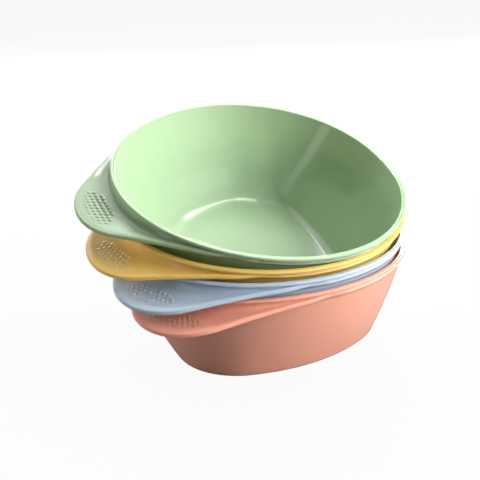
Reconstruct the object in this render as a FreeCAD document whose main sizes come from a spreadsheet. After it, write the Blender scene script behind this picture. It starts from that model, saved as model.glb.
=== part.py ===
import FreeCAD, Part
import Sketcher

import os

# A nest of four identical moulded bowls, each a rounded-triangle cup with a
# rolled rim and one broad finger tab. Every bowl is its own loose piece: it
# stands inside the bowl below it, turned and tipped a little, and lifts out.
#
# Bowl frame: base centre at the origin, +Z up, finger tab toward -X.
# Row frame: the frame of the lowest, coral bowl.

V = FreeCAD.Vector

SIZES = {
    # overall cup, mm
    "cup_height": 46.0,
    "wall": 1.4,
    "floor_thickness": 1.5,
    "wall_bulge": 0.073,
    # rounded-triangle outline: where its arcs meet, in degrees from the tab
    "tab_end_turn": 36.5,
    "side_turn": 86.8,
    "corner_turn": 170.6,
    # outline of the wall at the table
    "foot_reach": 53.6,
    "foot_end": 28.7,
    "foot_side": 80.7,
    "foot_corner": 23.9,
    # outline of the rim's outer edge
    "rim_reach": 71.7,
    "rim_end": 63.5,
    "rim_side": 78.3,
    "rim_corner": 65.7,
    # rolled rim
    "bead_out": 1.0,
    "bead_height": 1.6,
    "bead_round": 0.7,
    # rounding between floor and wall
    "foot_round": 4.5,
    "floor_round": 6.0,
    # finger tab, drops measured down from the rim
    "tab_reach": 89.8,
    "tab_tip_radius": 29.8,
    "tab_root_radius": 69.7,
    "tab_shoulder": 20.0,
    "tab_shoulder_sweep": 60.0,
    "tab_thickness": 2.2,
    "slab_inner": 20.0,
    "slab_inner_drop": 0.8,
    "slab_outer": 94.0,
    "slab_outer_drop": 10.4,
    "slab_arc": 289.0,
    "slab_trim_margin": 12.0,
    # each bowl against the bowl that holds it: shift of the base centre, turn
    # about its own axis, and tip toward a heading
    "blue_x": 1.4,
    "blue_y": 3.1,
    "blue_rise": 11.3,
    "blue_turn": -8.4,
    "blue_tip": 4.2,
    "blue_heading": -121.0,
    "yellow_x": 3.2,
    "yellow_y": 5.4,
    "yellow_rise": 14.5,
    "yellow_turn": -16.9,
    "yellow_tip": 7.8,
    "yellow_heading": -123.4,
    "green_x": -0.2,
    "green_y": 6.1,
    "green_rise": 12.8,
    "green_turn": -10.9,
    "green_tip": 7.3,
    "green_heading": -80.9,
}

NEST = ("blue", "yellow", "green")


def make_sheet(doc):
    sheet = doc.addObject("Spreadsheet::Sheet", "Sizes")
    for row, (name, value) in enumerate(SIZES.items(), start=1):
        sheet.set(f"A{row}", name)
        sheet.set(f"B{row}", str(value))
        sheet.setAlias(f"B{row}", name)
    doc.recompute()
    return sheet


def size(name):
    return f"Sizes.{name}"


def turn(name):
    return f"(Sizes.{name} * 1 deg)"


def value_of(body, expression):
    """The number an expression gives, for a sketch's first guess."""
    found = body.evalExpression(expression)
    return getattr(found, "Value", found)


def new_sketch(body, name, role, height=None):
    sketch = body.newObject("Sketcher::SketchObject", name)
    plane = [f for f in body.Origin.OriginFeatures if f.Role == role][0]
    sketch.AttachmentSupport = [(plane, "")]
    sketch.MapMode = "FlatFace"
    if height is not None:
        sketch.setExpression("AttachmentOffset.Base.z", height)
    return sketch


def bind(sketch, constraint, expression):
    """Add a dimension and tie it to an expression of the sheet."""
    index = sketch.addConstraint(constraint)
    sketch.setExpression(f"Constraints[{index}]", expression)


def place_point(sketch, geometry, end, x, y):
    """Hold a point at (x, y), each a pair of sign and positive expression."""
    for kind, (sign, expression) in (("DistanceX", x), ("DistanceY", y)):
        guess = value_of(sketch, expression)
        first, second = ((-1, 1), (geometry, end))
        if sign < 0:
            first, second = second, first
        bind(sketch, Sketcher.Constraint(kind, *first, *second, guess), expression)


def arc_between(start, finish, radius, bend):
    """A sketch arc from start to finish; bend +1 keeps the centre on the left."""
    chord = finish - start
    middle = (start + finish) * 0.5
    left = V(-chord.y, chord.x, 0).normalize()
    rise = (radius ** 2 - (chord.Length / 2) ** 2) ** 0.5
    centre = middle + left * (rise * bend)
    top = centre - left * (radius * bend)
    return Part.ArcOfCircle(start, top, finish)


def outline_sizes(share, grow):
    """Expressions of the outline's four lengths, foot and rim mixed by share."""
    found = {}
    for part in ("reach", "end", "side", "corner"):
        wall_top = f"(Sizes.rim_{part} - Sizes.bead_out)"
        found[part] = f"(Sizes.foot_{part} * (1 - {share}) + {wall_top} * {share} + {grow})"
    return found


def share_at(height):
    """How far the wall has opened from foot to rim at a height."""
    level = f"({height} / Sizes.cup_height)"
    return f"({level} + 4 * Sizes.wall_bulge * {level} * (1 - {level}))"


def outline(body, name, height, share, grow):
    """Closed rounded-triangle outline: six arcs, each flowing into the next."""
    sketch = new_sketch(body, name, "XY_Plane", height)
    lengths = outline_sizes(share, grow)
    reach, end, side, corner = (lengths[k] for k in ("reach", "end", "side", "corner"))
    first, second, third = (turn(k) for k in ("tab_end_turn", "side_turn", "corner_turn"))
    out_one = f"({reach} - {end} * (1 - cos({first})))"
    up_one = f"({end} * sin({first}))"
    out_two = f"({out_one} - {side} * (cos({first}) - cos({second})))"
    up_two = f"({up_one} + {side} * (sin({second}) - sin({first})))"
    back_three = f"({corner} * (cos({second}) - cos({third})) - {out_two})"
    up_three = f"({up_two} - {corner} * (sin({second}) - sin({third})))"
    flat = f"({up_three} / sin({third}))"

    def guess(expression):
        return value_of(sketch, expression)

    one = V(-guess(out_one), guess(up_one), 0)
    two = V(-guess(out_two), guess(up_two), 0)
    three = V(guess(back_three), guess(up_three), 0)
    flipped = [V(p.x, -p.y, 0) for p in (one, two, three)]
    corners = [one, flipped[0], flipped[1], flipped[2], three, two]
    radii = [end, side, corner, flat, corner, side]
    for k in range(6):
        start, finish = corners[k], corners[(k + 1) % 6]
        sketch.addGeometry(arc_between(start, finish, guess(radii[k]), 1), False)
    for k in range(6):
        sketch.addConstraint(Sketcher.Constraint("Coincident", k, 2, (k + 1) % 6, 1))
    place_point(sketch, 0, 1, (-1, out_one), (1, up_one))
    place_point(sketch, 5, 1, (-1, out_two), (1, up_two))
    place_point(sketch, 4, 1, (1, back_three), (1, up_three))
    for upper, lower in (((0, 1), (0, 2)), ((5, 1), (1, 2)), ((4, 1), (2, 2))):
        sketch.addConstraint(Sketcher.Constraint("Symmetric", *upper, *lower, -1))
    for arc in (0, 1, 2, 3):
        bind(sketch, Sketcher.Constraint("Radius", arc, guess(radii[arc])), radii[arc])
    sketch.addConstraint(Sketcher.Constraint("Equal", 1, 5))
    sketch.addConstraint(Sketcher.Constraint("Equal", 2, 4))
    return sketch


def loft(body, name, kind, sections):
    feature = body.newObject(kind, name)
    feature.Profile = sections[0]
    feature.Sections = sections[1:]
    feature.Refine = False
    body.Document.recompute()
    return feature


def tab_slab(body):
    """Side view of the finger tab: a thin plate that bends down to its tip."""
    sketch = new_sketch(body, "tab_side", "XZ_Plane")
    inner = size("slab_inner")
    outer = size("slab_outer")
    inner_z = "(Sizes.cup_height - Sizes.slab_inner_drop)"
    outer_z = "(Sizes.cup_height - Sizes.slab_outer_drop)"
    start = V(-value_of(sketch, inner), value_of(sketch, inner_z), 0)
    finish = V(-value_of(sketch, outer), value_of(sketch, outer_z), 0)
    down = V(0, -value_of(sketch, size("tab_thickness")), 0)
    radius = value_of(sketch, size("slab_arc"))
    sketch.addGeometry(arc_between(start, finish, radius, 1), False)
    sketch.addGeometry(Part.LineSegment(finish, finish + down), False)
    sketch.addGeometry(arc_between(start + down, finish + down, radius, 1), False)
    sketch.addGeometry(Part.LineSegment(start + down, start), False)
    for pair in (((0, 2), (1, 1)), ((1, 2), (2, 2)), ((2, 1), (3, 1)), ((3, 2), (0, 1))):
        sketch.addConstraint(Sketcher.Constraint("Coincident", *pair[0], *pair[1]))
    place_point(sketch, 0, 1, (-1, inner), (1, inner_z))
    place_point(sketch, 0, 2, (-1, outer), (1, outer_z))
    bind(sketch, Sketcher.Constraint("Radius", 0, radius), size("slab_arc"))
    sketch.addConstraint(Sketcher.Constraint("Equal", 0, 2))
    for line in (1, 3):
        sketch.addConstraint(Sketcher.Constraint("Vertical", line))
    drop = Sketcher.Constraint("DistanceY", 2, 2, 0, 2, -down.y)
    bind(sketch, drop, size("tab_thickness"))
    slab = body.newObject("PartDesign::Pad", "tab_slab")
    slab.Profile = sketch
    slab.setExpression("Length", f"{size('slab_outer')} * 2")
    slab.Midplane = True
    body.Document.recompute()


def tab_outline(body):
    """Trim the slab to the tab's plan: a round tip whose sides run to the rim."""
    sketch = new_sketch(body, "tab_plan", "XY_Plane")
    tip, root, shoulder = (size(k) for k in ("tab_tip_radius", "tab_root_radius", "tab_shoulder"))
    tip_out = f"({size('tab_reach')} - {tip})"
    lean = f"acos(({root} - {tip}) / {tip_out})"
    swept = f"({lean} + {turn('tab_shoulder_sweep')})"
    end_x = f"({tip_out} + {tip} * cos({lean}))"
    end_y = f"({tip} * sin({lean}))"
    root_x = f"({root} * cos({lean}))"
    root_y = f"({root} * sin({lean}))"
    fade_x = f"(({root} - {shoulder}) * cos({lean}) + {shoulder} * cos({swept}))"
    fade_y = f"(({root} - {shoulder}) * sin({lean}) + {shoulder} * sin({swept}))"
    places = ((end_x, end_y), (root_x, root_y), (fade_x, fade_y))
    upper = [V(-value_of(sketch, x), value_of(sketch, y), 0) for x, y in places]
    lower = [V(p.x, -p.y, 0) for p in upper]
    tip_radius = value_of(sketch, tip)
    shoulder_radius = value_of(sketch, shoulder)
    sketch.addGeometry(arc_between(upper[0], lower[0], tip_radius, 1), False)
    sketch.addGeometry(Part.LineSegment(lower[0], lower[1]), False)
    sketch.addGeometry(arc_between(lower[1], lower[2], shoulder_radius, 1), False)
    sketch.addGeometry(Part.LineSegment(lower[2], upper[2]), False)
    sketch.addGeometry(arc_between(upper[2], upper[1], shoulder_radius, 1), False)
    sketch.addGeometry(Part.LineSegment(upper[1], upper[0]), False)
    for k in range(6):
        sketch.addConstraint(Sketcher.Constraint("Coincident", k, 2, (k + 1) % 6, 1))
    corners = (((0, 1), (0, 2)), ((5, 1), (1, 2)), ((4, 1), (2, 2)))
    for (geometry, end), (x, y) in zip((pair[0] for pair in corners), places):
        place_point(sketch, geometry, end, (-1, x), (1, y))
    for first, second in corners:
        sketch.addConstraint(Sketcher.Constraint("Symmetric", *first, *second, -1))
    bind(sketch, Sketcher.Constraint("Radius", 0, tip_radius), tip)
    bind(sketch, Sketcher.Constraint("Radius", 2, shoulder_radius), shoulder)
    sketch.addConstraint(Sketcher.Constraint("Equal", 2, 4))
    ring = f"({size('slab_outer')} * 2 + {size('slab_trim_margin')})"
    ring_radius = value_of(sketch, ring)
    circle = sketch.addGeometry(Part.Circle(V(0, 0, 0), V(0, 0, 1), ring_radius), False)
    sketch.addConstraint(Sketcher.Constraint("Coincident", circle, 3, -1, 1))
    bind(sketch, Sketcher.Constraint("Radius", circle, ring_radius), ring)
    trim = body.newObject("PartDesign::Pocket", "tab_trim")
    trim.Profile = sketch
    trim.Reversed = True
    trim.setExpression("Length", f"{size('cup_height')} * 2")
    body.Document.recompute()


def edges_at(feature, height):
    """Names of the feature's edges that lie level at a height."""
    found = []
    for number, edge in enumerate(feature.Shape.Edges, start=1):
        box = edge.BoundBox
        level = abs(box.ZMin - height) < 0.01 and abs(box.ZMax - height) < 0.01
        if level:
            found.append(f"Edge{number}")
    return found


def round_edges(body, name, names, radius):
    rounded = body.newObject("PartDesign::Fillet", name)
    rounded.Base = (body.Group[-2], names)
    rounded.setExpression("Radius", size(radius))
    body.Document.recompute()
    return rounded


def make_bowl(doc, sheet, label):
    body = doc.addObject("PartDesign::Body", label)
    body.Label = label
    tab_slab(body)
    tab_outline(body)

    top = size("cup_height")
    middle = f"({top} / 2)"
    floor = size("floor_thickness")
    inward = f"(-{size('wall')})"
    outer = [
        outline(body, "foot_outline", "0 mm", share_at("0"), "0"),
        outline(body, "belly_outline", middle, share_at(middle), "0"),
        outline(body, "lip_outline", top, "1", "0"),
    ]
    loft(body, "cup", "PartDesign::AdditiveLoft", outer)
    foot = edges_at(body.Tip, 0.0)
    round_edges(body, "foot_rounding", foot, "foot_round")

    bead_base = f"({top} - {size('bead_height')})"
    bead_sketch = outline(body, "bead_outline", bead_base, "1", size("bead_out"))
    bead = body.newObject("PartDesign::Pad", "rim_bead")
    bead.Profile = bead_sketch
    bead.setExpression("Length", size("bead_height"))
    doc.recompute()

    inner = [
        outline(body, "floor_outline", floor, share_at(floor), inward),
        outline(body, "inner_belly", middle, share_at(middle), inward),
        outline(body, "mouth_outline", top, "1", inward),
    ]
    before = body.Shape.Volume
    loft(body, "cavity", "PartDesign::SubtractiveLoft", inner)
    if body.Shape.Volume > before * 0.6:
        raise RuntimeError(f"{label}: the cavity did not cut")
    round_edges(body, "floor_rounding", edges_at(body.Tip, sheet.floor_thickness), "floor_round")
    round_edges(body, "rim_rounding", edges_at(body.Tip, sheet.cup_height), "bead_round")
    return body


def nest_placement(sheet, colour):
    """Pose of a bowl inside the bowl that holds it."""
    x, y, rise, about, tip, heading = (
        getattr(sheet, f"{colour}_{k}") for k in ("x", "y", "rise", "turn", "tip", "heading")
    )
    level = FreeCAD.Rotation(V(0, 0, 1), heading)
    lean = FreeCAD.Rotation(level.multVec(V(0, 1, 0)), tip)
    return FreeCAD.Placement(V(x, y, rise), lean * FreeCAD.Rotation(V(0, 0, 1), about))


def check(doc, bodies):
    for item in doc.Objects:
        if "Invalid" in item.State or "Error" in item.State:
            raise RuntimeError(f"{item.Name} failed: {item.State}")
    for body in bodies:
        shape = body.Shape
        if shape.isNull() or not shape.isValid() or len(shape.Solids) != 1:
            raise RuntimeError(f"{body.Label} is not one valid solid")


def main():
    os.makedirs("parts", exist_ok=True)
    doc = FreeCAD.newDocument("bowls")
    sheet = make_sheet(doc)
    bodies = [make_bowl(doc, sheet, "coral_bowl")]
    pose = FreeCAD.Placement()
    for colour in NEST:
        body = make_bowl(doc, sheet, f"{colour}_bowl")
        pose = pose * nest_placement(sheet, colour)
        body.Placement = pose
        bodies.append(body)
    doc.recompute()
    check(doc, bodies)
    for body in bodies:
        body.Shape.exportStep(f"parts/{body.Label}.step")


main()
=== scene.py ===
import math

import bpy
import numpy as np
from mathutils import Matrix, Vector

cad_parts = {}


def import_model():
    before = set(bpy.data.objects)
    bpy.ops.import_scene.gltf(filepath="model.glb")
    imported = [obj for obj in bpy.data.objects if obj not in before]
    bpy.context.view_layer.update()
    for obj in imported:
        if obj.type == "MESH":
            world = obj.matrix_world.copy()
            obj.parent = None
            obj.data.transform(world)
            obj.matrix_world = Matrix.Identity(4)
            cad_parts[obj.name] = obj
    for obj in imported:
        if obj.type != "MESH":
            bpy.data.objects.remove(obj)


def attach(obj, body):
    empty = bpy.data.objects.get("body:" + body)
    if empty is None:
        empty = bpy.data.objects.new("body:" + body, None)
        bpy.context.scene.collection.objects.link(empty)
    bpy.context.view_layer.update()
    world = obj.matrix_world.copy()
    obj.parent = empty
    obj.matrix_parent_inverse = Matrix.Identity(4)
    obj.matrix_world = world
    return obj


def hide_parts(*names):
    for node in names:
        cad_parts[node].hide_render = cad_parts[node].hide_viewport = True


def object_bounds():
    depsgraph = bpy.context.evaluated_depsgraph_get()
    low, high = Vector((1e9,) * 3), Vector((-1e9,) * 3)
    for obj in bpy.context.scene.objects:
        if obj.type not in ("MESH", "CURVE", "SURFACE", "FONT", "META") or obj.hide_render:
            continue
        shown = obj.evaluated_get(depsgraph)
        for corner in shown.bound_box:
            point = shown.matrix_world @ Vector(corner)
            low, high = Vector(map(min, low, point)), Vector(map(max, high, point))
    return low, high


# A nest of four injection-moulded bowls. Sizes are in millimetres, as in the
# drawing of the part, and become metres when a mesh is made.
MM = 0.001
AROUND = 360

# cup: its outline is an end arc at the tab, a side arc, a corner arc and a flat far arc.
# TURNS are the directions where the first three stop, FOOT and RIM their reach and radii,
# FLOOR_ROUND the radius on the tab side and at the far end, easing between two turns.
HEIGHT = 46.0
WALL = 1.4
FLOOR = 1.5
BULGE = 0.073
TURNS = np.radians((36.5, 86.8, 170.6))
FOOT = np.array((53.6, 28.7, 80.7, 23.9))
RIM = np.array((71.7, 63.5, 78.3, 65.7))
FOOT_ROUND = 4.5
FLOOR_ROUND = (21.0, 7.0)
FLOOR_ROUND_TURNS = (120, 165)
BEAD_OUT = 1.0
BEAD_HEIGHT = 1.6

# underside: a shallow recess, and the ring round it as insets from its edge and heights
RECESS_INSET = 5.0
RECESS_HEIGHT = 0.5
FOOT_RING = ((4.7, 0.49), (4.5, 0.42), (4.2, 0.12), (4.0, 0.02), (3.7, 0.0), (2.5, 0.0), (1.0, 0.0))

# rim section: offsets out from the wall's outer face and heights from the rim's top
UNDERCUT = [(0.02, -1.72), (0.12, -1.62)]
ROLL_CENTRE = (0.38, -0.8)
ROLL_SIZE = (0.62, 0.78)
GROOVE_SPAN = (-0.08, -1.02)
GROOVE_TOP = -0.03
GROOVE_DEPTH = 0.16
LIP_SIZE = (0.38, 0.53)

# finger tab: its shoulders fade into the wall over TAB_FADE degrees before TAB_END
TAB_REACH = 89.8
TIP_RADIUS = 29.8
ROOT_RADIUS = 69.7
TAB_THICKNESS = 2.2
TAB_ARC = 289.0
TAB_INNER = (20.0, -0.8)
TAB_OUTER = (94.0, -10.4)
TAB_END = 63.0
TAB_FADE = 17.0
ROOT_LEVEL = HEIGHT - 5.0
EDGE_ROUND = 0.85
DISH = 0.8
VALLEY_WIDTH = 5.0
VALLEY_CLIMB = 3.6

# grip dots: their rings are shares of a dot's radius and of its rise
DOT_PITCH = 2.5
DOT_RADIUS = 0.7
DOT_RISE = 0.1
DOT_SIDES = 14
DOT_RINGS = ((1.25, -0.875), (1.0, 0.0), (0.86, 0.5), (0.6, 0.85), (0.3, 1.0))
DOTS_MIDDLE = 80.5
DOTS_FIELD = (5.6, 12.5)
DOTS_SINK = DISH * 0.2

# mesh rows; CORNER_STEPS are for the foot and for the floor
CORNER_STEPS = (10, 16)
UNDER_STEPS = 8
EDGE_STEPS = 6
TOP_STEPS = 14
VALLEY_STEPS = 8
OUTER_STEPS = 19
INNER_STEPS = 24

# each bowl against the one that holds it: shift, turn, tip and its heading
NEST = {
    "blue": ((1.4, 3.1, 11.3), -8.4, 4.2, -121.0),
    "yellow": ((3.2, 5.4, 14.5), -16.9, 7.8, -123.4),
    "green": ((-0.2, 6.1, 12.8), -10.9, 7.3, -80.9),
}

COLOURS = {
    "coral": (0.82, 0.36, 0.255),
    "blue": (0.43, 0.53, 0.64),
    "yellow": (0.88, 0.56, 0.14),
    "green": (0.34, 0.475, 0.29),
}

# camera, in the coral bowl's frame
EYE = Vector((-405.5, -215.9, 206.8)) * MM
AIM = Vector((120.2, 78.7, 0.0)) * MM
ROLL = math.radians(-2.43)
LENS = 74.4

# softboxes: degrees turned from the camera's side to its right, degrees raised,
# size in metres, watts, and whether the plastic mirrors it
LIGHTS = {
    "key": (90, 23, (1.1, 0.9), 20.0, False),
    "key_front": (58, 19, (0.7, 0.6), 10.5, False),
    "back": (180, 16, (1.2, 0.5), 14.0, True),
    "back_left": (238, 13, (1.4, 0.4), 15.0, False),
    "tab_fill": (206, 55, (0.9, 0.5), 2.5, True),
    "strip": (306, 24, (0.16, 0.8), 0.55, True),
    "streak": (149, 64, (0.42, 0.4), 4.2, True),
}

# backdrop: how strongly the world lights the object, and what the camera sees on top of that
WORLD_LIGHT = 0.03
WORLD_SEEN = 0.9
STAGE_SIZE = 6.0
STAGE_TOP = -0.0002
STAGE_COLOUR = (0.16, 0.16, 0.16, 1)
STAGE_GLOW = 1.1
STAGE_GLOW_SHARE = 0.85


# ---------------------------------------------------------------- bowl shape
def facing(turn):
    return np.array((math.cos(turn), math.sin(turn)))


def outline(u, lengths):
    """Points of the rounded-triangle outline whose outward normals have the angles u."""
    reach, end, side, corner = lengths
    first, second, third = TURNS
    end_stop = np.array((reach - end * (1 - math.cos(first)), end * math.sin(first)))
    side_stop = end_stop + side * (facing(second) - facing(first))
    corner_stop = side_stop + corner * (facing(third) - facing(second))
    flat = corner_stop[1] / math.sin(third)
    centres = (
        (reach - end, 0.0),
        end_stop - side * facing(first),
        side_stop - corner * facing(second),
        corner_stop - flat * facing(third),
    )
    size = np.abs(u)
    zones = (size < first, size < second, size < third)
    cx = np.select(zones, [c[0] for c in centres[:3]], centres[3][0])
    cy = np.select(zones, [c[1] for c in centres[:3]], centres[3][1]) * np.sign(u)
    radius = np.select(zones, (end, side, corner), flat)
    return np.stack((cx + radius * np.cos(u), cy + radius * np.sin(u)), 1)


def opened(z):
    """How far the wall has opened from foot to rim at height z."""
    level = z / HEIGHT
    return level + 4 * BULGE * level * (1 - level)


def plan_of(row):
    return np.stack((-row[:, 0], -row[:, 1]), 1)


class Cup:
    """Plan geometry shared by every row of the bowl's mesh."""

    def __init__(self):
        self.u = np.linspace(-math.pi, math.pi, AROUND, endpoint=False) + math.pi / AROUND
        self.normal = np.stack((np.cos(self.u), np.sin(self.u)), 1)
        self.foot = outline(self.u, FOOT)
        self.top = outline(self.u, RIM - BEAD_OUT)

    def wall(self, z):
        """Plan of the wall's outer face at height z."""
        share = opened(np.asarray(z, float) + np.zeros(AROUND))[:, None]
        return self.foot * (1 - share) + self.top * share

    def row(self, plan, z):
        """A mesh row: the tab points along -X."""
        z = np.asarray(z, float) + np.zeros(AROUND)
        return np.stack((-plan[:, 0], -plan[:, 1], z), 1)

    def out(self, plan, offset):
        """The plan moved outward."""
        offset = np.asarray(offset, float) + np.zeros(AROUND)
        return plan + self.normal * offset[:, None]

    def rise(self, low, high):
        """How far the wall moves outward between two heights."""
        return ((self.wall(high) - self.wall(low)) * self.normal).sum(1)

    def eased(self, ends, start, finish):
        """A value that changes from the tab side to the far side between two turns in degrees."""
        share = np.clip((np.degrees(np.abs(self.u)) - start) / (finish - start), 0, 1)
        return ends[0] + (ends[1] - ends[0]) * share * share * (3 - 2 * share)


def corner_rows(cup, z, radius, inset, steps):
    """Rounding between a level face at height z and the wall above it, from the face up."""
    lean = np.arctan(cup.rise(z, z + 1.0))
    top = z + radius * (1 - np.sin(lean))
    lean = np.arctan(cup.rise(top - 0.5, top + 0.5))
    centre = cup.rise(z, top) - inset - radius * np.cos(lean)
    base = cup.wall(z)
    rows = []
    for k in range(steps + 1):
        angle = -math.pi / 2 + (math.pi / 2 - lean) * k / steps
        offset = centre + radius * np.cos(angle)
        rows.append(cup.row(cup.out(base, offset), z + radius * (1 + np.sin(angle))))
    return rows


def tab_height(x):
    """Top of the tab at a distance x from the bowl's middle: a plate bent along one arc."""
    start, finish = np.array(TAB_INNER), np.array(TAB_OUTER)
    chord = finish - start
    length = np.hypot(*chord)
    left = np.array((chord[1], -chord[0])) / length
    centre = (start + finish) / 2 + left * math.sqrt(TAB_ARC ** 2 - length ** 2 / 4)
    x = np.clip(x, TAB_INNER[0], TAB_OUTER[0])
    return HEIGHT + centre[1] + np.sqrt(TAB_ARC ** 2 - (x - centre[0]) ** 2)


def tab_distance(points):
    """Distance outside the tab's plan, the hull of the root circle and the tip circle."""
    gap = TAB_REACH - TIP_RADIUS
    x, y = points[:, 0], np.abs(points[:, 1])
    lean = (ROOT_RADIUS - TIP_RADIUS) / gap
    cross = math.sqrt(1 - lean * lean)
    along = x * cross - y * lean
    root = np.hypot(x, y) - ROOT_RADIUS
    tip = np.hypot(x - gap, y) - TIP_RADIUS
    side = x * lean + y * cross - ROOT_RADIUS
    return np.where(along < 0, root, np.where(along > gap * cross, tip, side))


def tab_reach(cup, plan):
    """How far the tab stands out from the wall in each direction, fading out at its shoulders."""
    reach = np.zeros(AROUND)
    for _ in range(60):
        reach -= tab_distance(cup.out(plan, reach))
    turned = np.degrees(np.abs(cup.u))
    fade = np.clip((TAB_END - turned) / TAB_FADE, 0, 1)
    return np.maximum(reach, 0) * fade * fade * (3 - 2 * fade)


def tab_rows(cup):
    """Under the tab, round its edge, back over its top and up the valley to the wall."""
    plan = cup.wall(ROOT_LEVEL)
    reach = tab_reach(cup, plan)
    ceiling = HEIGHT - BEAD_HEIGHT - 0.05

    def wall_offset(z):
        return ((cup.wall(z) - plan) * cup.normal).sum(1)

    def surface(offset):
        return np.minimum(tab_height(cup.out(plan, offset)[:, 0]), ceiling)

    root_top = surface(np.zeros(AROUND))
    root_low = root_top - TAB_THICKNESS
    rows = [cup.row(cup.wall(root_low), root_low)]

    def add(offset, z):
        rows.append(cup.row(cup.out(plan, offset), z))

    start = wall_offset(root_low)
    edge = np.minimum(EDGE_ROUND, reach * 0.45)
    rim = np.maximum(reach, wall_offset(root_top))
    for k in range(1, UNDER_STEPS + 1):
        offset = start + (rim - edge - start) * k / UNDER_STEPS
        add(offset, surface(offset) - TAB_THICKNESS)

    tip_top = surface(rim)
    quarter = math.pi / 2
    halves = ((tip_top - TAB_THICKNESS + edge, -quarter, 1), (tip_top - edge, 0.0, 0))
    for level, start, first in halves:
        for k in range(first, EDGE_STEPS + 1):
            angle = start + quarter * k / EDGE_STEPS
            add(rim - edge + edge * math.cos(angle), level + edge * math.sin(angle))

    run = np.maximum(rim - edge, 0)
    valley = np.minimum(VALLEY_WIDTH, run * 0.6)
    dish = np.minimum(DISH, run * 0.08)
    for k in range(1, TOP_STEPS + 1):
        part = k / TOP_STEPS
        offset = run + (valley - run) * part
        add(offset, surface(offset) - dish * math.sin(math.pi * part * 0.5) ** 2)

    low = surface(valley) - dish
    climb = np.clip(ceiling - root_top, 0, VALLEY_CLIMB) * np.clip(valley / 1.5, 0, 1)
    high = root_top + climb
    goal = wall_offset(high)
    for k in range(1, VALLEY_STEPS + 1):
        angle = quarter * k / VALLEY_STEPS
        add(valley + (goal - valley) * math.sin(angle), low + (high - low) * (1 - math.cos(angle)))
    return rows, root_low, high


def rim_section():
    """Rolled bead, shallow groove and inner lip, from below the bead to the inside of the wall.

    Each point is an offset out from the wall's outer face and a height from the rim's top.
    """
    section = list(UNDERCUT)
    for k in range(11):
        angle = math.pi * (k / 10 - 0.5)
        section.append((ROLL_CENTRE[0] + ROLL_SIZE[0] * math.cos(angle),
                        ROLL_CENTRE[1] + ROLL_SIZE[1] * math.sin(angle)))
    start, finish = GROOVE_SPAN
    section += [((ROLL_CENTRE[0] + start) / 2, GROOVE_TOP), (start, GROOVE_TOP)]
    for k in range(1, 7):
        dip = GROOVE_DEPTH * math.sin(math.pi * k / 7) ** 2
        section.append((start + (finish - start) * k / 7, GROOVE_TOP - dip))
    for k in range(6):
        angle = math.pi / 2 * (1 + k / 5)
        section.append((finish + LIP_SIZE[0] * math.cos(angle),
                        GROOVE_TOP - LIP_SIZE[1] + LIP_SIZE[1] * math.sin(angle)))
    return section


def foot_rows(cup):
    """The underside from its middle outward, and the rounding up to the wall."""
    rounding = corner_rows(cup, 0.0, FOOT_ROUND, 0.0, CORNER_STEPS[0])
    edge = plan_of(rounding[0])
    recess = cup.out(edge, -RECESS_INSET)
    rows = [cup.row(recess * share, RECESS_HEIGHT) for share in (0.25, 0.5, 0.75, 0.9, 1.0)]
    rows += [cup.row(cup.out(edge, -inset), z) for inset, z in FOOT_RING]
    return rows + rounding


def inside_rows(cup, start):
    """The wall's inner face from height start down, its rounding and the floor to its middle."""
    turns = cup.eased(FLOOR_ROUND, *FLOOR_ROUND_TURNS)
    rounding = corner_rows(cup, FLOOR, turns, WALL, CORNER_STEPS[1])
    finish = rounding[-1][:, 2]
    rows = []
    for k in range(1, INNER_STEPS):
        z = start + (finish - start) * k / INNER_STEPS
        rows.append(cup.row(cup.out(cup.wall(z), -WALL), z))
    floor = plan_of(rounding[0])
    return rows + rounding[::-1] + [cup.row(floor * share, FLOOR) for share in (0.93, 0.8, 0.6, 0.4, 0.2)]


def bowl_rows(cup):
    """Every row of the bowl, from under its middle out, over the rim and back to the floor's middle."""
    rows = foot_rows(cup)
    tab, low, high = tab_rows(cup)
    start = rows[-1][:, 2]
    for k in range(1, OUTER_STEPS):
        z = start + (low - start) * k / OUTER_STEPS
        rows.append(cup.row(cup.wall(z), z))
    rows += tab
    section = rim_section()
    bead_low = HEIGHT + section[0][1]
    for k in (1, 2):
        z = high + (np.maximum(bead_low, high) - high) * k / 3
        rows.append(cup.row(cup.wall(z), z))
    for offset, drop in section:
        rows.append(cup.row(cup.out(cup.top, offset), np.maximum(HEIGHT + drop, high)))
    return rows + inside_rows(cup, HEIGHT + section[-1][1])


def tab_height_at(x):
    return float(tab_height(np.array(x)))


def add_dot(points, faces, x, y):
    """One low round dot on top of the tab."""
    base = len(points)
    middle = tab_height_at(x)
    level = middle - DOTS_SINK
    for ring, (share, up) in enumerate(DOT_RINGS):
        reach = DOT_RADIUS * share
        for step in range(DOT_SIDES):
            angle = 2 * math.pi * step / DOT_SIDES
            ahead = x + reach * math.cos(angle)
            tilt = tab_height_at(ahead) - middle
            points.append((-ahead, -(y + reach * math.sin(angle)), level + tilt + up * DOT_RISE))
        if ring:
            below = base + (ring - 1) * DOT_SIDES
            for step in range(DOT_SIDES):
                one, two = below + step, below + (step + 1) % DOT_SIDES
                faces.append((one, two, two + DOT_SIDES, one + DOT_SIDES))
    points.append((-x, -y, level + DOT_RISE * 1.03))
    last = base + (len(DOT_RINGS) - 1) * DOT_SIDES
    for step in range(DOT_SIDES):
        faces.append((last + step, last + (step + 1) % DOT_SIDES, len(points) - 1))


def grip_dots(points, faces):
    """Raised dots for the thumb on the tab, in staggered lines inside an oval."""
    for line in range(-2, 3):
        for k in range(-5, 6):
            x = DOTS_MIDDLE + line * DOT_PITCH * 0.866
            y = (k + 0.5 * (line % 2)) * DOT_PITCH
            if ((x - DOTS_MIDDLE) / DOTS_FIELD[0]) ** 2 + (y / DOTS_FIELD[1]) ** 2 <= 1:
                add_dot(points, faces, x, y)


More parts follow.
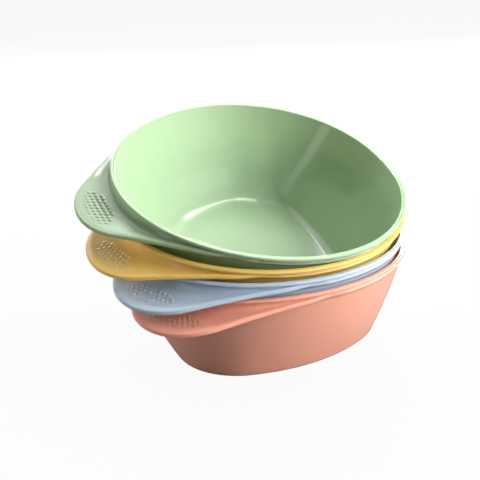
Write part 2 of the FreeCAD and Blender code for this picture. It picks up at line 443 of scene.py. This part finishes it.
def bowl_mesh(cup):
    """Points and faces of one bowl in its own frame."""
    rows = bowl_rows(cup)
    points = [(0.0, 0.0, RECESS_HEIGHT)]
    for row in rows:
        points += [tuple(p) for p in row]
    points.append((0.0, 0.0, FLOOR))
    last = len(points) - 1
    end = 1 + (len(rows) - 1) * AROUND
    faces = []
    for k in range(AROUND):
        nxt = (k + 1) % AROUND
        faces.append((0, 1 + nxt, 1 + k))
        for r in range(len(rows) - 1):
            a, b = 1 + r * AROUND, 1 + (r + 1) * AROUND
            faces.append((a + k, a + nxt, b + nxt, b + k))
        faces.append((end + k, end + nxt, last))
    grip_dots(points, faces)
    return points, faces


def nest_pose(shift, about, tip, heading):
    """A bowl's pose inside the bowl that holds it."""
    toward = math.radians(heading)
    axis = Vector((-math.sin(toward), math.cos(toward), 0))
    lean = Matrix.Rotation(math.radians(tip), 4, axis)
    spin = Matrix.Rotation(math.radians(about), 4, "Z")
    return Matrix.Translation(Vector(shift) * MM) @ lean @ spin


def make_bowl(colour, shape, pose, material):
    points, faces = shape
    mesh = bpy.data.meshes.new(f"{colour}_bowl_moulding")
    mesh.from_pydata([tuple(pose @ (Vector(p) * MM)) for p in points], [], faces)
    mesh.polygons.foreach_set("use_smooth", [True] * len(mesh.polygons))
    mesh.materials.append(material)
    mesh.update()
    bowl = bpy.data.objects.new(f"{colour}_bowl_moulding", mesh)
    bpy.context.collection.objects.link(bowl)
    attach(bowl, colour)
    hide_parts(f"{colour}_bowl")


# ------------------------------------------------------------------ material
def noise(tree, place, scale, detail):
    node = tree.nodes.new("ShaderNodeTexNoise")
    node.inputs["Scale"].default_value = scale
    node.inputs["Detail"].default_value = detail
    tree.links.new(place, node.inputs["Vector"])
    return node.outputs["Fac"]


def ranged(tree, value, low, high, start=0.0, finish=1.0):
    """A number from low to high as value goes from start to finish."""
    node = tree.nodes.new("ShaderNodeMapRange")
    node.inputs["From Min"].default_value = start
    node.inputs["From Max"].default_value = finish
    node.inputs["To Min"].default_value = low
    node.inputs["To Max"].default_value = high
    tree.links.new(value, node.inputs["Value"])
    return node.outputs["Result"]


def colour_mix(tree, blend):
    node = tree.nodes.new("ShaderNodeMix")
    node.data_type = "RGBA"
    node.blend_type = blend
    return node


def plastic(name, colour):
    """Satin moulded polypropylene: slightly clouded colour, fine skin texture, and colour lightened
    towards white on sharply curved edges.
    """
    material = bpy.data.materials.new(name)
    material.use_nodes = True
    tree = material.node_tree
    shader = tree.nodes["Principled BSDF"]
    shader.inputs["IOR"].default_value = 1.49
    shader.inputs["Coat Weight"].default_value = 0.9
    shader.inputs["Coat Roughness"].default_value = 0.05
    shader.inputs["Subsurface Weight"].default_value = 0.45
    shader.inputs["Subsurface Radius"].default_value = (1.0, 0.8, 0.6)
    shader.inputs["Subsurface Scale"].default_value = 0.003
    place = tree.nodes.new("ShaderNodeTexCoord").outputs["Object"]

    clouded = colour_mix(tree, "MULTIPLY")
    clouded.inputs["Factor"].default_value = 1.0
    clouded.inputs["A"].default_value = (*colour, 1.0)
    tree.links.new(ranged(tree, noise(tree, place, 45.0, 4.0), 0.95, 1.04), clouded.inputs["B"])

    # sharply curved edges and rims are mixed up to a quarter of the way towards a paler copy of the
    # colour
    sharp = tree.nodes.new("ShaderNodeNewGeometry").outputs["Pointiness"]
    edge_lightened = colour_mix(tree, "MIX")
    edge_lightened.inputs["B"].default_value = tuple(0.55 + 0.45 * c for c in colour) + (1.0,)
    tree.links.new(ranged(tree, sharp, 0.0, 0.25, 0.52, 0.62), edge_lightened.inputs["Factor"])
    tree.links.new(clouded.outputs["Result"], edge_lightened.inputs["A"])
    tree.links.new(edge_lightened.outputs["Result"], shader.inputs["Base Color"])

    tree.links.new(ranged(tree, noise(tree, place, 160.0, 6.0), 0.26, 0.42), shader.inputs["Roughness"])

    bump = tree.nodes.new("ShaderNodeBump")
    bump.inputs["Strength"].default_value = 0.12
    bump.inputs["Distance"].default_value = 0.0001
    tree.links.new(noise(tree, place, 1400.0, 3.0), bump.inputs["Height"])
    tree.links.new(bump.outputs["Normal"], shader.inputs["Normal"])
    return material


# ------------------------------------------------------------- studio, camera
def camera_axes():
    forward = (AIM - EYE).normalized()
    right = forward.cross(Vector((0, 0, 1))).normalized()
    up = right.cross(forward)
    return (right * math.cos(ROLL) + up * math.sin(ROLL),
            up * math.cos(ROLL) - right * math.sin(ROLL), forward)


def add_camera():
    data = bpy.data.cameras.new("camera")
    data.lens = LENS
    data.sensor_width = 36.0
    data.clip_start = 0.01
    camera = bpy.data.objects.new("camera", data)
    bpy.context.collection.objects.link(camera)
    right, up, forward = camera_axes()
    turn = Matrix((right, up, -forward)).transposed().to_4x4()
    camera.matrix_world = Matrix.Translation(EYE) @ turn
    bpy.context.scene.camera = camera


def add_light(name, aim, turned, raised, size, power, mirrored):
    """A softbox one metre from aim, turned from the camera's side toward its right."""
    right, _, forward = camera_axes()
    near = Vector((-forward.x, -forward.y, 0)).normalized()
    side = Vector((right.x, right.y, 0)).normalized()
    turned, raised = math.radians(turned), math.radians(raised)
    level = side * math.sin(turned) + near * math.cos(turned)
    data = bpy.data.lights.new(name, "AREA")
    data.shape = "RECTANGLE"
    data.size, data.size_y = size
    data.energy = power
    lamp = bpy.data.objects.new(name, data)
    bpy.context.collection.objects.link(lamp)
    away = level * math.cos(raised) + Vector((0, 0, math.sin(raised)))
    lamp.location = aim + away
    lamp.rotation_euler = (-away).to_track_quat("-Z", "Y").to_euler()
    lamp.visible_camera = False
    lamp.visible_glossy = mirrored


def seen_by_camera(tree, operation, values):
    """The camera ray flag (1 or 0) put through a math node with the values given."""
    flag = tree.nodes.new("ShaderNodeLightPath").outputs["Is Camera Ray"]
    node = tree.nodes.new("ShaderNodeMath")
    node.operation = operation
    for socket, value in enumerate(values, 1):
        node.inputs[socket].default_value = value
    tree.links.new(flag, node.inputs[0])
    return node.outputs[0]


def add_world():
    """Nearly dark for the plastic, pale behind the object."""
    world = bpy.data.worlds.new("studio")
    bpy.context.scene.world = world
    world.use_nodes = True
    tree = world.node_tree
    background = tree.nodes["Background"]
    background.inputs["Color"].default_value = (1, 1, 1, 1)
    strength = seen_by_camera(tree, "MULTIPLY_ADD", (WORLD_SEEN, WORLD_LIGHT))
    tree.links.new(strength, background.inputs["Strength"])


def floor_material():
    """Matt pale floor that looks nearly white to the camera."""
    pale = bpy.data.materials.new("pale_floor")
    pale.use_nodes = True
    tree = pale.node_tree
    shader = tree.nodes["Principled BSDF"]
    shader.inputs["Base Color"].default_value = STAGE_COLOUR
    shader.inputs["Roughness"].default_value = 0.9
    glow = tree.nodes.new("ShaderNodeEmission")
    glow.inputs["Strength"].default_value = STAGE_GLOW
    blend = tree.nodes.new("ShaderNodeMixShader")
    tree.links.new(seen_by_camera(tree, "MULTIPLY", (STAGE_GLOW_SHARE,)), blend.inputs[0])
    tree.links.new(shader.outputs[0], blend.inputs[1])
    tree.links.new(glow.outputs[0], blend.inputs[2])
    tree.links.new(blend.outputs[0], tree.nodes["Material Output"].inputs["Surface"])
    return pale


def add_floor():
    size, top = STAGE_SIZE, STAGE_TOP
    corners = [(-size, -size, top), (size, -size, top), (size, size, top), (-size, size, top)]
    mesh = bpy.data.meshes.new("floor")
    mesh.from_pydata(corners, [], [(0, 1, 2, 3)])
    floor = bpy.data.objects.new("floor", mesh)
    bpy.context.collection.objects.link(floor)
    mesh.materials.append(floor_material())


def main():
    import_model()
    cad_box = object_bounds()
    bpy.context.scene.view_settings.view_transform = "Standard"
    shape = bowl_mesh(Cup())
    pose = Matrix.Identity(4)
    for colour in COLOURS:
        if colour in NEST:
            pose = pose @ nest_pose(*NEST[colour])
        make_bowl(colour, shape, pose, plastic(f"{colour}_plastic", COLOURS[colour]))
    add_camera()
    low, high = (Vector(corner) for corner in cad_box)
    for name, setting in LIGHTS.items():
        add_light(name, (low + high) / 2, *setting)
    add_world()
    add_floor()


main()
